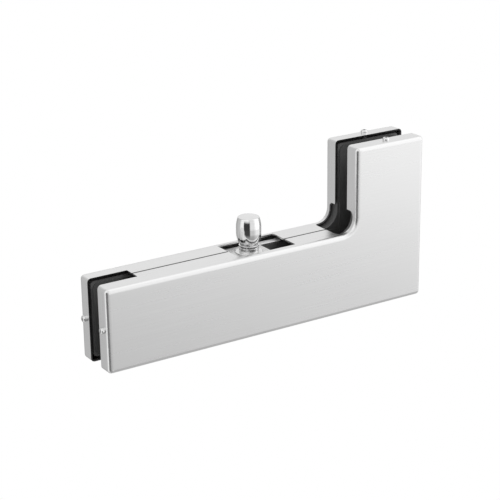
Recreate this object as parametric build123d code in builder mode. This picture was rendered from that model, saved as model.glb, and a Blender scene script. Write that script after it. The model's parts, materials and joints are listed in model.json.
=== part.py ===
from build123d import *
import os

# L-shaped corner patch with a pivot pin, for frameless glass doors, in millimetres.
# Origin: the pivot point, on the pin's axis at the middle of its bearing land.
# +X runs along the long leg towards the short leg, +Z along the pin, +Y to the rear.
# Front pieces lie at negative Y, and the rear ones mirror them in the XZ plane.

os.makedirs("parts", exist_ok=True)

# --- the whole fitting ---
leg_width = 51.0
long_leg = 223.0
short_leg = 104.0
depth = 32.0
pivot_setback = 67.5  # pin axis to the short leg's door-side face
pivot_height = 11.0  # pivot point above the long leg's door-side face
glass_slot = 12.0  # clear gap between the gaskets
edge_break = 0.5  # on machined edges
overshoot = 1.0  # how far a cut starts outside the face it goes through

# --- covers, pressed from sheet ---
cover_wall = 1.0
cover_edge_radius = 3.0
inner_corner_radius = 8.5
cover_slot_clearance = 0.2  # each slot edge stands back from the gasket face by this
parting_gap = 0.7
end_notch = 25.5
relief_run = 11.5  # corner relief, along the long leg from the inner corner
relief_rise = 12.5  # and up the short leg
relief_radius = 3.0
opening_depth = 12.0  # opening and relief reach this far from the middle plane
opening_left = 14.7  # pin axis to the opening's left end
opening_length = 40.0
opening_radius = 0.6

# --- clamps and gaskets ---
gasket_thickness = 1.0
gasket_inset = 3.4  # gasket outline in from the cover's outline
gasket_radius = 4.0
gasket_joint = 0.3
clamp_plate = 5.0
clamp_gap = 1.5  # clamp outline in from the cover's inner wall
clamp_radius = 2.0
cover_seat_clearance = 0.3  # clamp ribs to the inside of the cover's face
rib_width = 3.0
seat_margin = 2.0
boss_radius = 8.0
lug_length = 8.0
lug_width = 10.0

# --- pivot pin, turned ---
pin_radius = 7.5
land_length = 3.0
barrel_top = 8.0  # above the pivot point
barrel_bottom = 7.0  # below it
barrel_top_radius = 6.3
barrel_bottom_radius = 6.5
top_rounding = 0.6
neck_radius = 5.4
neck_length = 1.4
under_cut = 1.0
base_radius = 6.05
groove_depth = 0.5
groove_width = 0.9
groove_below_neck = 0.7
collar_radius = 8.4
collar_thickness = 0.8
collar_rounding = 0.5
shank_radius = 5.0
shank_length = 13.0
shank_clearance = 0.03

# --- pin carrier and its travel ---
carrier_length = 24.0
carrier_drop = 3.0  # top of the carrier below the long leg's door-side face
carrier_height = 26.0
carrier_side_clearance = 0.3
carrier_seat_clearance = 0.3  # collar above the clamps' milled seat
travel_left = 2.0
travel_right = 13.0
carrier_screw_spacing = 14.0
carrier_screw_drop = 19.0  # below the carrier's top
carrier_screw_radius = 3.0
carrier_screw_clearance = 0.2
carrier_head_radius = 5.0
carrier_head_height = 2.4
nut_across_flats = 10.0
nut_thickness = 2.4

# --- clamp screws and their sleeves ---
clamp_screw_radius = 3.0
clamp_screw_clearance = 0.3
clamp_head_radius = 6.0
thread_clearance = 0.03
screw_end_clearance = 1.0
socket_across_flats = 4.0
socket_depth = 2.2
countersink_angle = 90.0
sleeve_radius = 6.5
sleeve_wall = 3.2
sleeve_end_clearance = 0.1
sleeve_hole_clearance = 0.3
end_screw_setback = 33.0  # from the left end
middle_screw_setback = 32.5  # from the pin axis
inner_screw_setback = 24.5  # from the short leg's door-side face
top_screw_drop = 28.0  # from the top of the short leg

# --- cover screws, button heads ---
cover_screw_radius = 1.5
cover_screw_length = 6.0
cover_hole_clearance = 0.1
button_radius = 2.2
button_height = 2.0
button_rounding = 1.1
button_socket = 1.5
button_socket_depth = 1.0

# --- positions worked out from the sizes above ---
door_face = -pivot_height
base = door_face - leg_width
top_end = base + short_leg
corner = pivot_setback
right_end = corner + leg_width
left_end = right_end - long_leg
leg_middle = base + leg_width / 2
short_leg_middle = corner + leg_width / 2
half_depth = depth / 2

gasket_face = glass_slot / 2
clamp_face = gasket_face + gasket_thickness
plate_back = clamp_face + clamp_plate
rib_back = half_depth - cover_wall - cover_seat_clearance
clamp_inset = cover_wall + clamp_gap
clamp_edge = door_face - clamp_inset
seat_level = door_face - carrier_drop - carrier_seat_clearance
carrier_top = door_face - carrier_drop
carrier_half_width = clamp_face - carrier_side_clearance
carrier_screw_level = carrier_top - carrier_screw_drop
flange_middle = (half_depth + gasket_face) / 2

opening_start = -opening_left

clamp_screw_places = {
    "end": (left_end + end_screw_setback, leg_middle),
    "middle": (-middle_screw_setback, leg_middle),
    "inner": (corner - inner_screw_setback, leg_middle),
    "corner": (short_leg_middle, leg_middle),
    "top": (short_leg_middle, top_end - top_screw_drop),
}
carrier_screw_places = {
    "left": (-carrier_screw_spacing / 2, carrier_screw_level),
    "right": (carrier_screw_spacing / 2, carrier_screw_level),
}


def facing_front(distance, places):
    """Places on the plane that lies this far in front of the middle, facing forward."""
    plane = Plane.XZ.offset(distance)
    return [plane.location * Location((x, z, 0)) for x, z in places]


def save(part, name):
    """Label a finished piece and write it under its own name."""
    part.label = name
    export_step(part, f"parts/{name}.step")


def draw_legs(inset):
    """Draw the L, its outline moved in by inset, in the sketch that is open."""
    with Locations(((left_end + right_end) / 2, leg_middle)):
        Rectangle(long_leg - 2 * inset, leg_width - 2 * inset)
    with Locations((short_leg_middle, (base + top_end) / 2)):
        Rectangle(leg_width - 2 * inset, short_leg - 2 * inset)


# --- covers ---


def cap_block(inset):
    """Front half of the L as a solid block, its face and outline moved in by inset."""
    start = parting_gap / 2
    with BuildPart() as block:
        with BuildSketch(Plane.XZ.offset(start)) as outline:
            draw_legs(inset)
            inner_corner = (corner + inset, door_face - inset)
            fillet(outline.vertices().sort_by_distance(inner_corner)[0], inner_corner_radius + inset)
        extrude(amount=half_depth - inset - start)
        inner_line = Vector(corner + inset, 0, door_face - inset)
        seams_first = block.edges().filter_by(Axis.Y).sort_by_distance(inner_line)
        face_edges = block.faces().sort_by(Axis.Y)[0].edges()
        fillet(seams_first[2:] + face_edges, cover_edge_radius - inset)
    return block.part


with BuildPart() as front_cover:
    add(cap_block(0))
    add(cap_block(cover_wall), mode=Mode.SUBTRACT)
    # The flanges stop at the glass slot, except along the door-side face.
    with BuildSketch(Plane.XZ):
        with Locations(((left_end + right_end) / 2, (base + top_end) / 2)):
            Rectangle(long_leg + 2 * overshoot, short_leg + 2 * overshoot)
        with Locations((left_end + end_notch, door_face + overshoot)):
            closed_run = long_leg - leg_width - end_notch - relief_run
            Rectangle(
                closed_run,
                overshoot + cover_edge_radius,
                align=(Align.MIN, Align.MAX),
                mode=Mode.SUBTRACT,
            )
    extrude(amount=gasket_face + cover_slot_clearance, mode=Mode.SUBTRACT)
    # Opening round the pin.
    with BuildSketch(Plane.XY.offset(door_face + overshoot)) as opening:
        with Locations((opening_start, 0)):
            Rectangle(opening_length, 2 * opening_depth, align=(Align.MIN, Align.CENTER))
        fillet(opening.vertices(), opening_radius)
    extrude(amount=-(overshoot + cover_wall + clamp_gap / 2), mode=Mode.SUBTRACT)
    # Relief of the inner corner, cut from above and from the door side.
    with BuildSketch(Plane.XY.offset(door_face + inner_corner_radius)) as relief_below:
        with Locations((corner + cover_wall + clamp_gap / 2, 0)):
            relief_length = relief_run + cover_wall + clamp_gap / 2
            Rectangle(relief_length, 2 * opening_depth, align=(Align.MAX, Align.CENTER))
        fillet(relief_below.vertices().group_by(Axis.X)[0], relief_radius)
    extrude(amount=-(inner_corner_radius + cover_wall + clamp_gap / 2), mode=Mode.SUBTRACT)
    with BuildSketch(Plane.YZ.offset(corner - inner_corner_radius)) as relief_beside:
        with Locations((0, door_face - cover_wall - clamp_gap / 2)):
            relief_height = relief_rise + cover_wall + clamp_gap / 2
            Rectangle(2 * opening_depth, relief_height, align=(Align.CENTER, Align.MIN))
        fillet(relief_beside.vertices().group_by(Axis.Y)[-1], relief_radius)
    extrude(amount=inner_corner_radius + cover_wall + clamp_gap / 2, mode=Mode.SUBTRACT)
    # Holes for the cover screws, in the end flanges.
    with Locations(
        Location((left_end, -flange_middle, leg_middle), (0, 90, 0)),
        Location((short_leg_middle, -flange_middle, top_end)),
    ):
        Cylinder(cover_screw_radius + cover_hole_clearance, 4 * cover_wall, mode=Mode.SUBTRACT)
save(front_cover.part, "front_cover")

with BuildPart() as rear_cover:
    mirror(front_cover.part, about=Plane.XZ)
save(rear_cover.part, "rear_cover")


# --- clamps ---


def clamp_casting():
    """Front clamp without its screw holes: a ribbed L plate with bosses and lugs."""
    slot_reach = carrier_screw_radius + carrier_screw_clearance
    slot_start = -carrier_screw_spacing / 2 - travel_left - slot_reach
    slot_end = carrier_screw_spacing / 2 + travel_right + slot_reach
    head_room = carrier_head_radius + 2 * carrier_screw_clearance
    with BuildPart() as casting:
        with BuildSketch(Plane.XZ.offset(clamp_face)) as plate:
            draw_legs(clamp_inset)
            inner_corner = (corner + clamp_inset, door_face - clamp_inset)
            nearest = plate.vertices().sort_by_distance(inner_corner)
            fillet(nearest[0], inner_corner_radius + clamp_inset)
            fillet(plate.vertices().sort_by_distance(inner_corner)[2:], clamp_radius)
        extrude(amount=clamp_plate)
        # Rib round the edge, with a gap where the carrier's screw heads slide.
        with BuildSketch(Plane.XZ.offset(plate_back)):
            add(plate.sketch)
            offset(plate.sketch, amount=-rib_width, mode=Mode.SUBTRACT)
            with Locations(((slot_start + slot_end) / 2, clamp_edge)):
                run = slot_end - slot_start + 2 * head_room
                Rectangle(run, 4 * rib_width, mode=Mode.SUBTRACT)
        extrude(amount=rib_back - plate_back)
        # Bosses for the clamp screws.
        with BuildSketch(Plane.XZ.offset(plate_back)):
            with Locations(*clamp_screw_places.values()):
                Circle(boss_radius)
        extrude(amount=rib_back - plate_back)
        # Lugs that take the cover screws.
        with BuildSketch(Plane.XZ.offset(plate_back)):
            with Locations((left_end + clamp_inset, leg_middle)):
                Rectangle(lug_length, lug_width, align=(Align.MIN, Align.CENTER))
            with Locations((short_leg_middle, top_end - clamp_inset)):
                Rectangle(lug_width, lug_length, align=(Align.CENTER, Align.MAX))
        extrude(amount=rib_back - plate_back)
        # Seat milled along the opening, and the slot for the carrier's screws.
        with BuildSketch(Plane.XZ.offset(clamp_face)):
            with Locations((opening_start - seat_margin, seat_level)):
                Rectangle(
                    opening_length + 2 * seat_margin,
                    rib_width,
                    align=(Align.MIN, Align.MIN),
                )
        extrude(amount=clamp_plate, mode=Mode.SUBTRACT)
        with BuildSketch(Plane.XZ.offset(clamp_face)):
            with Locations(((slot_start + slot_end) / 2, carrier_screw_level)):
                SlotOverall(slot_end - slot_start, 2 * slot_reach)
        extrude(amount=clamp_plate, mode=Mode.SUBTRACT)
        # Threaded holes for the cover screws.
        tap = cover_screw_radius + thread_clearance
        with Locations(
            Location((left_end, -flange_middle, leg_middle), (0, 90, 0)),
            Location((short_leg_middle, -flange_middle, top_end)),
        ):
            Cylinder(tap, 2 * (clamp_inset + lug_length - overshoot), mode=Mode.SUBTRACT)
    return casting.part


with BuildPart() as front_clamp:
    add(clamp_casting())
    with Locations(*facing_front(rib_back, clamp_screw_places.values())):
        CounterSinkHole(
            clamp_screw_radius + clamp_screw_clearance,
            clamp_head_radius + thread_clearance,
            counter_sink_angle=countersink_angle,
        )
save(front_clamp.part, "front_clamp")

with BuildPart() as rear_clamp:
    mirror(clamp_casting(), about=Plane.XZ)
    with Locations(*facing_front(-clamp_face, clamp_screw_places.values())):
        Hole(clamp_screw_radius + thread_clearance)
save(rear_clamp.part, "rear_clamp")


# --- gaskets ---

gasket_seam = corner + gasket_inset
carrier_room = carrier_length / 2 + carrier_side_clearance
carrier_pocket_start = -carrier_room - travel_left
carrier_pocket_end = carrier_room + travel_right
carrier_bottom = carrier_top - carrier_height
sleeve_hole_radius = sleeve_radius + sleeve_hole_clearance

with BuildPart() as front_long_gasket:
    with BuildSketch(Plane.XZ.offset(gasket_face)) as long_pad:
        pad_start = left_end + gasket_inset
        with Locations((pad_start, leg_middle)):
            Rectangle(
                gasket_seam - gasket_joint / 2 - pad_start,
                leg_width - 2 * gasket_inset,
                align=(Align.MIN, Align.CENTER),
            )
        fillet(long_pad.vertices(), gasket_radius)
        with Locations((carrier_pocket_start, door_face)):
            Rectangle(
                carrier_pocket_end - carrier_pocket_start,
                door_face - carrier_bottom + carrier_side_clearance,
                align=(Align.MIN, Align.MAX),
                mode=Mode.SUBTRACT,
            )
        with Locations(*clamp_screw_places.values()):
            Circle(sleeve_hole_radius, mode=Mode.SUBTRACT)
    extrude(amount=gasket_thickness)
save(front_long_gasket.part, "front_long_gasket")

with BuildPart() as front_short_gasket:
    with BuildSketch(Plane.XZ.offset(gasket_face)) as short_pad:
        with Locations((gasket_seam + gasket_joint / 2, base + gasket_inset)):
            Rectangle(
                leg_width - 2 * gasket_inset - gasket_joint / 2,
                short_leg - 2 * gasket_inset,
                align=(Align.MIN, Align.MIN),
            )
        fillet(short_pad.vertices(), gasket_radius)
        with Locations(*clamp_screw_places.values()):
            Circle(sleeve_hole_radius, mode=Mode.SUBTRACT)
    extrude(amount=gasket_thickness)
save(front_short_gasket.part, "front_short_gasket")

with BuildPart() as rear_long_gasket:
    mirror(front_long_gasket.part, about=Plane.XZ)
save(rear_long_gasket.part, "rear_long_gasket")

with BuildPart() as rear_short_gasket:
    mirror(front_short_gasket.part, about=Plane.XZ)
save(rear_short_gasket.part, "rear_short_gasket")


# --- pivot pin and its carrier ---

neck_top = -barrel_bottom - under_cut
base_top = neck_top - neck_length
groove_top = base_top - groove_below_neck
groove_bottom = groove_top - groove_width
collar_bottom = -pivot_height - carrier_drop
collar_top = collar_bottom + collar_thickness
shank_bottom = collar_bottom - shank_length


def crown_middle(height, radius):
    """Point halfway along the arc that leaves the land and ends at this height and radius."""
    rise = abs(height) - land_length / 2
    drop = pin_radius - radius
    crown_radius = (rise**2 + drop**2) / (2 * drop)
    half_rise = rise / 2
    half_drop = crown_radius - (crown_radius**2 - half_rise**2) ** 0.5
    sign = 1 if height > 0 else -1
    return pin_radius - half_drop, sign * (land_length / 2 + half_rise)


with BuildPart() as pivot_pin:
    with BuildSketch(Plane.XZ):
        with BuildLine() as profile:
            Polyline((0, shank_bottom), (0, barrel_top), (barrel_top_radius, barrel_top))
            ThreePointArc(
                (barrel_top_radius, barrel_top),
                crown_middle(barrel_top, barrel_top_radius),
                (pin_radius, land_length / 2),
            )
            Line((pin_radius, land_length / 2), (pin_radius, -land_length / 2))
            ThreePointArc(
                (pin_radius, -land_length / 2),
                crown_middle(-barrel_bottom, barrel_bottom_radius),
                (barrel_bottom_radius, -barrel_bottom),
            )
            Polyline(
                (barrel_bottom_radius, -barrel_bottom),
                (neck_radius, neck_top),
                (neck_radius, base_top),
                (base_radius, base_top),
                (base_radius, groove_top),
                (base_radius - groove_depth, groove_top),
                (base_radius - groove_depth, groove_bottom),
                (base_radius, groove_bottom),
                (base_radius, collar_top),
                (collar_radius, collar_top),
                (collar_radius, collar_bottom),
                (shank_radius, collar_bottom),
                (shank_radius, shank_bottom),
                (0, shank_bottom),
            )
        make_face()
    revolve(axis=Axis.Z)
    circles = pivot_pin.edges().filter_by(GeomType.CIRCLE)
    top_edge = circles.filter_by_position(Axis.Z, barrel_top, barrel_top)
    fillet(top_edge, top_rounding)
    collar_edge = circles.filter_by_position(Axis.Z, collar_top, collar_top).sort_by(SortBy.RADIUS)[-1]
    fillet(collar_edge, collar_rounding)
save(pivot_pin.part, "pivot_pin")

with BuildPart() as pin_carrier:
    with BuildSketch(Plane.XY.offset(carrier_top)):
        Rectangle(carrier_length, 2 * carrier_half_width)
    extrude(amount=-carrier_height)
    upright_edges = pin_carrier.edges().filter_by(Axis.Z)
    chamfer(upright_edges + pin_carrier.faces().sort_by(Axis.Z)[0].edges(), edge_break)
    with BuildSketch(Plane.XY.offset(carrier_top)):
        Circle(shank_radius + shank_clearance)
    extrude(amount=-(shank_length + screw_end_clearance), mode=Mode.SUBTRACT)
    with Locations(*facing_front(carrier_half_width, carrier_screw_places.values())):
        Hole(carrier_screw_radius + carrier_screw_clearance)
save(pin_carrier.part, "pin_carrier")


# --- fasteners ---

carrier_seat_gap = carrier_side_clearance / 2


def carrier_screw(place):
    """Low-head screw through both clamps and the carrier, with a hexagon socket."""
    head_face = plate_back + carrier_seat_gap
    with BuildPart() as screw:
        with BuildSketch(*facing_front(head_face, [place])):
            Circle(carrier_head_radius)
        extrude(amount=carrier_head_height)
        fillet(screw.faces().sort_by(Axis.Y)[0].edges(), edge_break)
        with BuildSketch(*facing_front(head_face, [place])):
            Circle(carrier_screw_radius)
        extrude(amount=-(2 * head_face + nut_thickness))
        with BuildSketch(*facing_front(head_face + carrier_head_height, [place])):
            RegularPolygon(socket_across_flats / 2, 6, major_radius=False)
        extrude(amount=-carrier_head_height, mode=Mode.SUBTRACT)
    return screw.part


def carrier_nut(place):
    """Square nut behind the rear clamp."""
    with BuildPart() as nut:
        with BuildSketch(*facing_front(-(plate_back + carrier_seat_gap), [place])):
            Rectangle(nut_across_flats, nut_across_flats)
        extrude(amount=-nut_thickness)
        chamfer(nut.edges().filter_by(Axis.Y), edge_break)
        with BuildSketch(*facing_front(-(plate_back + carrier_seat_gap), [place])):
            Circle(carrier_screw_radius + thread_clearance)
        extrude(amount=-nut_thickness, mode=Mode.SUBTRACT)
    return nut.part


def clamp_screw(place):
    """Countersunk screw from the front clamp into the rear one, with a hexagon socket."""
    head_length = clamp_head_radius - clamp_screw_radius
    with BuildPart() as screw:
        with BuildSketch(*facing_front(rib_back, [place])):
            Circle(clamp_head_radius)
        with BuildSketch(*facing_front(rib_back - head_length, [place])):
            Circle(clamp_screw_radius)
        loft()
        with BuildSketch(*facing_front(rib_back - head_length, [place])):
            Circle(clamp_screw_radius)
        extrude(amount=-(2 * rib_back - head_length - screw_end_clearance))
        with BuildSketch(*facing_front(rib_back, [place])):
            RegularPolygon(socket_across_flats / 2, 6, major_radius=False)
        extrude(amount=-socket_depth, mode=Mode.SUBTRACT)
    return screw.part


def spacer_sleeve(place):
    """Tube round a clamp screw, between the two clamps."""
    half_length = clamp_face - sleeve_end_clearance
    with BuildPart() as sleeve:
        with BuildSketch(*facing_front(half_length, [place])):
            Circle(sleeve_radius)
            Circle(sleeve_radius - sleeve_wall, mode=Mode.SUBTRACT)
        extrude(amount=-2 * half_length)
    return sleeve.part


def cover_screw(outward):
    """Button-head screw whose head sits on a cover's end flange, at this location."""
    with BuildPart() as screw:
        with BuildSketch(outward):
            Circle(button_radius)
        extrude(amount=button_height)
        dome_edge = screw.edges().filter_by(GeomType.CIRCLE).sort_by_distance(outward.position)[-1]
        fillet(dome_edge, button_rounding)
        with BuildSketch(outward):
            Circle(cover_screw_radius)
        extrude(amount=-cover_screw_length)
        with BuildSketch(outward * Location((0, 0, button_height))):
            RegularPolygon(button_socket / 2, 6, major_radius=False)
        extrude(amount=-button_socket_depth, mode=Mode.SUBTRACT)
    return screw.part


for side, place in carrier_screw_places.items():
    save(carrier_screw(place), f"carrier_screw_{side}")
    save(carrier_nut(place), f"carrier_nut_{side}")

for where, place in clamp_screw_places.items():
    save(clamp_screw(place), f"clamp_screw_{where}")
    save(spacer_sleeve(place), f"spacer_sleeve_{where}")

for side, y in {"front": -flange_middle, "rear": flange_middle}.items():
    end_flange = Location((left_end, y, leg_middle), (0, -90, 0))
    top_flange = Location((short_leg_middle, y, top_end))
    save(cover_screw(end_flange), f"cover_screw_{side}_end")
    save(cover_screw(top_flange), f"cover_screw_{side}_top")
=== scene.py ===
import json

import bpy
from mathutils import Matrix, Vector

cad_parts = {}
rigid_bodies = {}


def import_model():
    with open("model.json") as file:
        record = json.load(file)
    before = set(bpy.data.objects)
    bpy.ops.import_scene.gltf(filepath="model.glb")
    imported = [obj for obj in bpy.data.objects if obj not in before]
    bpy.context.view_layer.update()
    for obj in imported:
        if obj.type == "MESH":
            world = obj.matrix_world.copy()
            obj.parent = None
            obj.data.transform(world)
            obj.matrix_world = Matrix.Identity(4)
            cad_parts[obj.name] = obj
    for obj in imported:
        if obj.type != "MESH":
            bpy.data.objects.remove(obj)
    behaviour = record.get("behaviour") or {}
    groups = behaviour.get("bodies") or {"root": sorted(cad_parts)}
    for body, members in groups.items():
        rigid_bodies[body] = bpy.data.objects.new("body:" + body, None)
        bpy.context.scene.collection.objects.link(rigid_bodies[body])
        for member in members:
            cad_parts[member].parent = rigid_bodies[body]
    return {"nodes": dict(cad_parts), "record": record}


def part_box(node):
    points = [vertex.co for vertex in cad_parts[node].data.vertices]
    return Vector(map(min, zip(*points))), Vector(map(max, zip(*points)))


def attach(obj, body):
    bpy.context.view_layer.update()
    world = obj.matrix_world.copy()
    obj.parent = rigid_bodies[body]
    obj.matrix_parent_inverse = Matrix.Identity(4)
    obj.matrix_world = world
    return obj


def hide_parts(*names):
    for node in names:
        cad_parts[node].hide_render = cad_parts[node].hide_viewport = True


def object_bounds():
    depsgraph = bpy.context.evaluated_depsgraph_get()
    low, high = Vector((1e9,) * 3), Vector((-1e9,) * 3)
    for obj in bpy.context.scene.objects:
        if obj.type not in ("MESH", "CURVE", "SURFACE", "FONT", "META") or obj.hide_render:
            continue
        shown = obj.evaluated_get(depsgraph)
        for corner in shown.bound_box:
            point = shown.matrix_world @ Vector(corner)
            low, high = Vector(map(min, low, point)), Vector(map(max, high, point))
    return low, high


for leftover in list(bpy.data.objects):
    bpy.data.objects.remove(leftover)

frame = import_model()
cad_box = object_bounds()
nodes = frame["nodes"]
scene = bpy.context.scene

# --- node helpers ---


class Graph:
    """A node tree under construction."""

    def __init__(self, tree):
        self.tree = tree

    def add(self, kind, **settings):
        """New node of this kind; settings name its attributes, or its inputs as in0=, in1=."""
        node = self.tree.nodes.new(kind)
        for key, value in settings.items():
            if key.startswith("in") and key[2:].isdigit():
                self.feed(node.inputs[int(key[2:])], value)
            else:
                setattr(node, key, value)
        return node

    def feed(self, socket, value):
        """Link a socket, or set it where the value is plain."""
        if isinstance(value, bpy.types.NodeSocket):
            self.tree.links.new(value, socket)
        else:
            socket.default_value = value

    def math(self, operation, a, b=0.0):
        return self.add("ShaderNodeMath", operation=operation, in0=a, in1=b).outputs[0]

    def position(self):
        return self.add("ShaderNodeTexCoord").outputs["Object"]

    def axes(self, vector):
        return self.add("ShaderNodeSeparateXYZ", in0=vector).outputs

    def normal(self):
        """The surface's own normal, in the row frame."""
        return self.add("ShaderNodeTexCoord").outputs["Normal"]

    def noise(self, vector, scale, stretch=(1, 1, 1), detail=3.0, roughness=0.5):
        mapping = self.add("ShaderNodeMapping", in0=vector)
        mapping.inputs["Scale"].default_value = stretch
        noise = self.add("ShaderNodeTexNoise")
        self.feed(noise.inputs["Vector"], mapping.outputs[0])
        noise.inputs["Scale"].default_value = scale
        noise.inputs["Detail"].default_value = detail
        noise.inputs["Roughness"].default_value = roughness
        return noise.outputs[0]

    def span(self, value, low, high, to_low=0.0, to_high=1.0):
        """Maps low..high to to_low..to_high, clamped."""
        node = self.add("ShaderNodeMapRange", in0=value, in1=low, in2=high, in3=to_low, in4=to_high)
        return node.outputs[0]

    def spread(self, noise, low, high, reach=0.2):
        """Noise, which lies around 0.5, spread from low to high."""
        return self.span(noise, 0.5 - reach, 0.5 + reach, low, high)

    def ramp(self, value, points):
        """Straight runs through these points, flat beyond the ends."""
        total = points[0][1]
        for (x0, y0), (x1, y1) in zip(points, points[1:]):
            total = self.math("ADD", total, self.span(value, x0, x1, 0.0, y1 - y0))
        return total

    def mix(self, factor, a, b):
        """Between two numbers."""
        node = self.add("ShaderNodeMix", data_type="FLOAT")
        for socket, value in zip((0, 2, 3), (factor, a, b)):
            self.feed(node.inputs[socket], value)
        return node.outputs[0]

    def blend(self, factor, a, b):
        """Between two colours."""
        node = self.add("ShaderNodeMix", data_type="RGBA")
        for socket, value in zip((0, 6, 7), (factor, a, b)):
            self.feed(node.inputs[socket], value)
        return node.outputs[2]

    def grey(self, value):
        return self.add("ShaderNodeCombineColor", in0=value, in1=value, in2=value).outputs[0]


class Shader(Graph):
    """A node material, with its Principled shader at hand."""

    def __init__(self, name, **sockets):
        self.material = bpy.data.materials.new(name)
        self.material.use_nodes = True
        super().__init__(self.material.node_tree)
        self.bsdf = self.tree.nodes["Principled BSDF"]
        for socket, value in sockets.items():
            self.bsdf.inputs[socket.replace("_", " ")].default_value = value

    def bump(self, height, strength, distance):
        node = self.add("ShaderNodeBump")
        node.inputs["Strength"].default_value = strength
        node.inputs["Distance"].default_value = distance
        self.feed(node.inputs["Height"], height)
        self.feed(self.bsdf.inputs["Normal"], node.outputs[0])


# --- materials ---

# Heights and depths at which a finish or painted shade changes, in metres.
slot_edge = 0.0062  # the covers' slot edges, from the middle plane
seat_level = -0.0143  # the milled seat on the clamps
barrel_foot = -0.007  # the lower end of the pin's barrel


def satin_stainless():
    """Sheet brushed along the long leg, and across the ends."""
    s = Shader("satin_stainless", Metallic=1.0, Anisotropic=0.6)
    place = s.position()
    facing = s.axes(s.normal())
    on_end = s.span(s.math("ABSOLUTE", facing[0]), 0.5, 0.85)
    along = s.noise(place, 1500, (0.006, 1, 1), detail=2)
    across = s.noise(place, 1500, (1, 1, 0.01), detail=2)
    grain = s.mix(on_end, along, across)
    broad = s.noise(place, 30, (0.3, 1, 1), detail=2)
    sheet = s.spread(grain, 0.825, 0.855)
    sheet = s.math("ADD", sheet, s.spread(broad, -0.01, 0.01))
    # Painted shade: the cut edges at the parting line and the slot face into narrow gaps, so their
    # colour is darkened to 0.06. They are also made rougher.
    middle = s.math("ABSOLUTE", s.axes(place)[1])
    inward = s.math("ABSOLUTE", facing[1])
    cut_edge_shade = s.math("MULTIPLY", s.span(middle, slot_edge + 0.0004, slot_edge), s.span(inward, 0.7, 0.9))
    # Painted shade: the flanges are darkened in a strip beside the parting line, so the seam reads
    # as a wider, darker gap.
    seam_shade = s.span(middle, 0.0009, 0.0006)
    sheet = s.mix(seam_shade, sheet, 0.30)
    s.feed(s.bsdf.inputs["Base Color"], s.grey(s.mix(cut_edge_shade, sheet, 0.06)))
    s.feed(s.bsdf.inputs["Roughness"], s.mix(cut_edge_shade, s.spread(grain, 0.27, 0.31), 0.6))
    # Grain direction for the anisotropic gloss: X on the faces, Z on the ends.
    flat = s.math("SUBTRACT", 1.0, on_end)
    tangent = s.add("ShaderNodeCombineXYZ", in0=flat, in1=0.0, in2=on_end)
    s.feed(s.bsdf.inputs["Tangent"], tangent.outputs[0])
    s.bump(grain, 0.02, 0.00001)
    return s.material


def polished_steel():
    s = Shader("polished_steel", Metallic=1.0)
    place = s.position()
    turned = s.noise(place, 2500, (0.05, 0.05, 1), detail=3)
    s.feed(s.bsdf.inputs["Base Color"], s.grey(s.spread(turned, 0.80, 0.86)))
    # The barrel is buffed almost to its foot; the neck under it is left as turned.
    neck = s.span(s.axes(place)[2], barrel_foot + 0.0025, barrel_foot + 0.0005)
    s.feed(s.bsdf.inputs["Roughness"], s.mix(neck, s.spread(turned, 0.05, 0.10), 0.24))
    return s.material


def machined_steel():
    s = Shader("machined_steel", Metallic=1.0)
    place = s.position()
    milled = s.noise(place, 1500, (1, 0.05, 1), detail=3)
    s.feed(s.bsdf.inputs["Base Color"], s.grey(s.spread(milled, 0.68, 0.76)))
    s.feed(s.bsdf.inputs["Roughness"], s.spread(milled, 0.25, 0.40))
    s.bump(milled, 0.1, 0.00002)
    return s.material


def black_clamp():
    """Black casting; the seat round the opening is milled bare."""
    s = Shader("black_clamp")
    place = s.position()
    height = s.axes(place)[2]
    up = s.axes(s.normal())[2]
    above = s.span(height, seat_level - 0.00015, seat_level - 0.0001)
    below = s.span(height, seat_level + 0.0001, seat_level + 0.00005)
    level = s.math("MULTIPLY", above, below)
    bare = s.math("MULTIPLY", level, s.span(up, 0.8, 0.95))
    pores = s.noise(place, 900, detail=4)
    milled = s.noise(place, 1500, (0.05, 1, 1), detail=3)
    paint = s.grey(s.spread(pores, 0.115, 0.135))
    metal = s.grey(s.spread(milled, 0.94, 0.99))
    s.feed(s.bsdf.inputs["Base Color"], s.blend(bare, paint, metal))
    s.feed(s.bsdf.inputs["Metallic"], s.math("MULTIPLY", bare, 0.3))
    s.feed(s.bsdf.inputs["Roughness"], s.mix(bare, s.spread(pores, 0.50, 0.60), 0.45))
    s.bump(pores, 0.25, 0.00005)
    return s.material


def gasket_rubber():
    s = Shader("gasket_rubber")
    place = s.position()
    fibre = s.noise(place, 1400, detail=5, roughness=0.65)
    s.feed(s.bsdf.inputs["Base Color"], s.grey(s.spread(fibre, 0.08, 0.10, reach=0.25)))
    s.feed(s.bsdf.inputs["Roughness"], s.spread(fibre, 0.65, 0.85, reach=0.25))
    s.bump(fibre, 0.35, 0.00006)
    return s.material


def plated_steel():
    s = Shader("plated_steel", Metallic=1.0)
    place = s.position()
    spots = s.noise(place, 700, detail=4)
    zinc = s.blend(s.spread(spots, 0.0, 1.0), (0.44, 0.45, 0.47, 1), (0.54, 0.53, 0.49, 1))
    s.feed(s.bsdf.inputs["Base Color"], zinc)
    s.feed(s.bsdf.inputs["Roughness"], s.spread(spots, 0.22, 0.38))
    return s.material


def sleeve_plastic():
    s = Shader("sleeve_plastic", Subsurface_Weight=0.15, Subsurface_Scale=0.002)
    place = s.position()
    cloud = s.noise(place, 300, detail=3)
    nylon = s.blend(cloud, (0.80, 0.80, 0.76, 1), (0.72, 0.72, 0.68, 1))
    s.feed(s.bsdf.inputs["Base Color"], nylon)
    s.feed(s.bsdf.inputs["Roughness"], s.spread(cloud, 0.40, 0.52))
    return s.material


# --- covers ---

cad_radius = 0.003  # edge rounding of the CAD covers
edge_radius = 0.0024  # and of the covers as seen
wall = 0.001  # of the sheet
corner = 0.0675  # X of the short leg's door-side face
door_face = -0.011  # Z of the long leg's door-side face
inner_radius = 0.0085  # of the inner corner between the two
arc_centre = Vector((corner - inner_radius, door_face + inner_radius))
low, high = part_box("front_cover")
half_depth = -low.y


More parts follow.
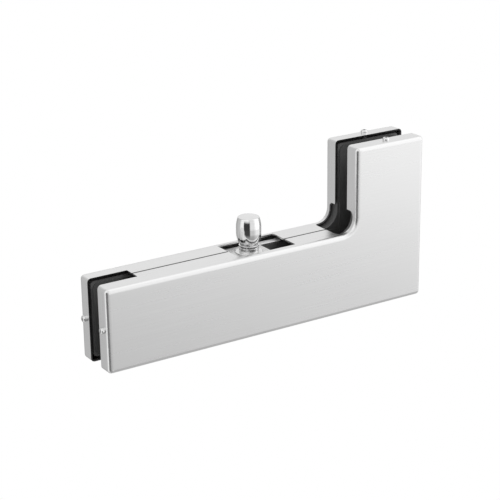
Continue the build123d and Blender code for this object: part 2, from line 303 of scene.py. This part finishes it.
def inset_from_outline(x, z):
    """How far a point lies inside the inner edges of the L, and which way that is measured."""
    if x > arc_centre.x and z < arc_centre.y:
        arm = Vector((x, z)) - arc_centre
        return [(arm.length - inner_radius, arm.normalized())]
    if x < corner:
        return [(door_face - z, Vector((0, -1)))]
    if z > door_face:
        return [(x - corner, Vector((1, 0)))]
    return []


def tighten(depth, reach):
    """New depth of a point on a rounded edge. Reach tells the outer skin from the inner."""
    if depth >= cad_radius:
        return depth
    if reach > cad_radius - wall / 2:
        return depth * edge_radius / cad_radius
    return edge_radius - (cad_radius - depth) * (edge_radius - wall) / (cad_radius - wall)


def tight_cover(name):
    """A copy of the CAD cover with its edges rounded more tightly."""
    source = nodes[name]
    mesh = source.data.copy()
    mesh.name = name + "_skin"
    for vertex in mesh.vertices:
        x, y, z = vertex.co
        sides = inset_from_outline(x, z)
        sides.append((x - low.x, Vector((1, 0))))
        sides.append((high.x - x, Vector((-1, 0))))
        sides.append((z - low.z, Vector((0, 1))))
        if x > corner:
            sides.append((high.z - z, Vector((0, -1))))
        deep = half_depth - abs(y)
        short = [max(0.0, cad_radius - d) for d, way in sides] + [max(0.0, cad_radius - deep)]
        reach = sum(v * v for v in short) ** 0.5
        for d, way in sides:
            move = (tighten(max(d, 0.0), reach) - max(d, 0.0)) * way
            vertex.co.x += move.x
            vertex.co.z += move.y
        new_deep = tighten(max(deep, 0.0), reach)
        vertex.co.y = (half_depth - new_deep) * (1 if y > 0 else -1)
    cover = bpy.data.objects.new(name + "_skin", mesh)
    scene.collection.objects.link(cover)
    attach(cover, "patch")
    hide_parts(name)


finishes = {
    "satin_stainless": satin_stainless(),
    "polished_steel": polished_steel(),
    "machined_steel": machined_steel(),
    "black_clamp": black_clamp(),
    "gasket_rubber": gasket_rubber(),
    "plated_steel": plated_steel(),
    "sleeve_plastic": sleeve_plastic(),
}
for entry in frame["record"]["subparts"]:
    piece = nodes[entry["node"]]
    piece.data.materials.clear()
    piece.data.materials.append(finishes[entry["material_slot"]])

for name in ("front_cover", "rear_cover"):
    tight_cover(name)

# --- stage, light and camera ---

floor_width = 8.0
floor_clearance = 0.0002  # below the object's lowest edges


def pale_floor():
    s = Shader("pale_floor", Roughness=0.9)
    s.bsdf.inputs["Base Color"].default_value = (0.8, 0.8, 0.8, 1)
    path = s.add("ShaderNodeLightPath").outputs
    seen = s.add("ShaderNodeEmission", in0=(1, 1, 1, 1), in1=1.0).outputs[0]
    floor = s.add("ShaderNodeMixShader", in0=path["Is Camera Ray"], in1=s.bsdf.outputs[0], in2=seen)
    s.feed(s.tree.nodes["Material Output"].inputs[0], floor.outputs[0])
    return s.material


def plane(name, size, location):
    half = size / 2
    mesh = bpy.data.meshes.new(name)
    corners = [(-half, -half, 0), (half, -half, 0), (half, half, 0), (-half, half, 0)]
    mesh.from_pydata([Vector(location) + Vector(c) for c in corners], [], [(0, 1, 2, 3)])
    obj = bpy.data.objects.new(name, mesh)
    scene.collection.objects.link(obj)
    return obj


floor = plane("floor", floor_width, (0, 0, cad_box[0][2] - floor_clearance))
floor.data.materials.append(pale_floor())
floor.visible_glossy = False

world = bpy.data.worlds.new("studio")
scene.world = world
world.use_nodes = True


def studio(g):
    """White to the eye and even for soft light, with panels that only gloss sees.

    Turn is the angle round Z in radians, 0 in front of the object and growing to the right.
    Rise is the angle above the horizon.
    """
    x, y, z = g.axes(g.add("ShaderNodeTexCoord").outputs["Generated"])
    ahead = g.math("ADD", g.math("MULTIPLY", x, -0.532), g.math("MULTIPLY", y, -0.847))
    aside = g.math("ADD", g.math("MULTIPLY", x, 0.847), g.math("MULTIPLY", y, -0.532))
    turn = g.math("ARCTAN2", aside, ahead)
    rise = g.math("ARCSINE", z)
    off = g.math("ABSOLUTE", turn)
    on_right = g.span(turn, -0.05, 0.05)
    behind = g.span(off, 2.10, 2.50)

    # Right panel, brightest just over the horizon and towards its far edge.
    points = (
        (-0.9, 0.52), (-0.5, 0.60), (-0.42, 0.67), (-0.35, 0.86), (-0.27, 1.22),
        (-0.15, 1.30), (0.1, 1.27), (0.5, 1.24), (1.2, 1.13),
    )
    right = g.math("MULTIPLY", g.ramp(rise, points), g.span(turn, 0.80, 1.30, 0.68, 1.04))
    # Left panel, then the darker side beyond it.
    panel = g.span(turn, -1.60, -1.25, 0.58, 1.05)
    side = g.span(turn, -2.4, -2.2, 0.42, 0.52)
    left = g.mix(g.span(turn, -2.20, -1.95), side, panel)
    light = g.mix(on_right, left, right)
    # Back wall: bright above the horizon on both sides, dimmer below it on the right.
    wall = g.span(rise, -0.10, 0.20, 0.50, 0.89)
    light = g.mix(behind, light, g.mix(on_right, left, wall))
    light = g.mix(g.math("MULTIPLY", behind, g.span(rise, 0.0, 0.2)), light, wall)
    # Dark gap in front, a little to the left.
    off_gap = g.math("ABSOLUTE", g.math("ADD", turn, 0.30))
    gap = g.math("MULTIPLY", g.span(off_gap, 0.56, 0.44), g.span(rise, 0.30, 0.12))
    light = g.mix(gap, light, g.span(rise, -0.52, -0.32, 0.30, 0.045))

    white = (1, 1, 1, 1)
    glossy = g.add("ShaderNodeBackground", in0=white, in1=light).outputs[0]
    soft = g.add("ShaderNodeBackground", in0=white, in1=0.55).outputs[0]
    shown = g.add("ShaderNodeBackground", in0=white, in1=1.0).outputs[0]
    path = g.add("ShaderNodeLightPath").outputs
    lit = g.add("ShaderNodeMixShader", in0=path["Is Glossy Ray"], in1=soft, in2=glossy)
    final = g.add(
        "ShaderNodeMixShader", in0=path["Is Camera Ray"], in1=lit.outputs[0], in2=shown
    )
    g.feed(g.tree.nodes["World Output"].inputs[0], final.outputs[0])


studio(Graph(world.node_tree))


def softbox(name, place, size, power):
    """Area light that faces the origin."""
    lamp = bpy.data.lights.new(name, "AREA")
    lamp.shape = "RECTANGLE"
    lamp.size, lamp.size_y = size
    lamp.energy = power
    obj = bpy.data.objects.new(name, lamp)
    facing = Vector(place).to_track_quat("Z", "Y").to_matrix().to_4x4()
    obj.matrix_world = Matrix.Translation(place) @ facing
    obj.visible_glossy = False
    scene.collection.objects.link(obj)


softbox("key", place=(0.9, -0.8, 1.3), size=(0.8, 0.8), power=12)
softbox("back", place=(0.2, 1.3, 0.9), size=(1.2, 0.8), power=8)

camera = bpy.data.cameras.new("camera")
camera.sensor_width = 36.0
camera.lens = 109.329
eye = Vector((-0.45926, -0.71724, 0.28795))
right = Vector((0.83925, -0.54359, -0.01276))
up = Vector((0.19124, 0.27313, 0.94278))
back = Vector((-0.50900, -0.79367, 0.33318))
photographer = bpy.data.objects.new("camera", camera)
facing = Matrix((right, up, back)).transposed().to_4x4()
photographer.matrix_world = Matrix.Translation(eye) @ facing
scene.collection.objects.link(photographer)
scene.camera = photographer
scene.view_settings.view_transform = "Standard"
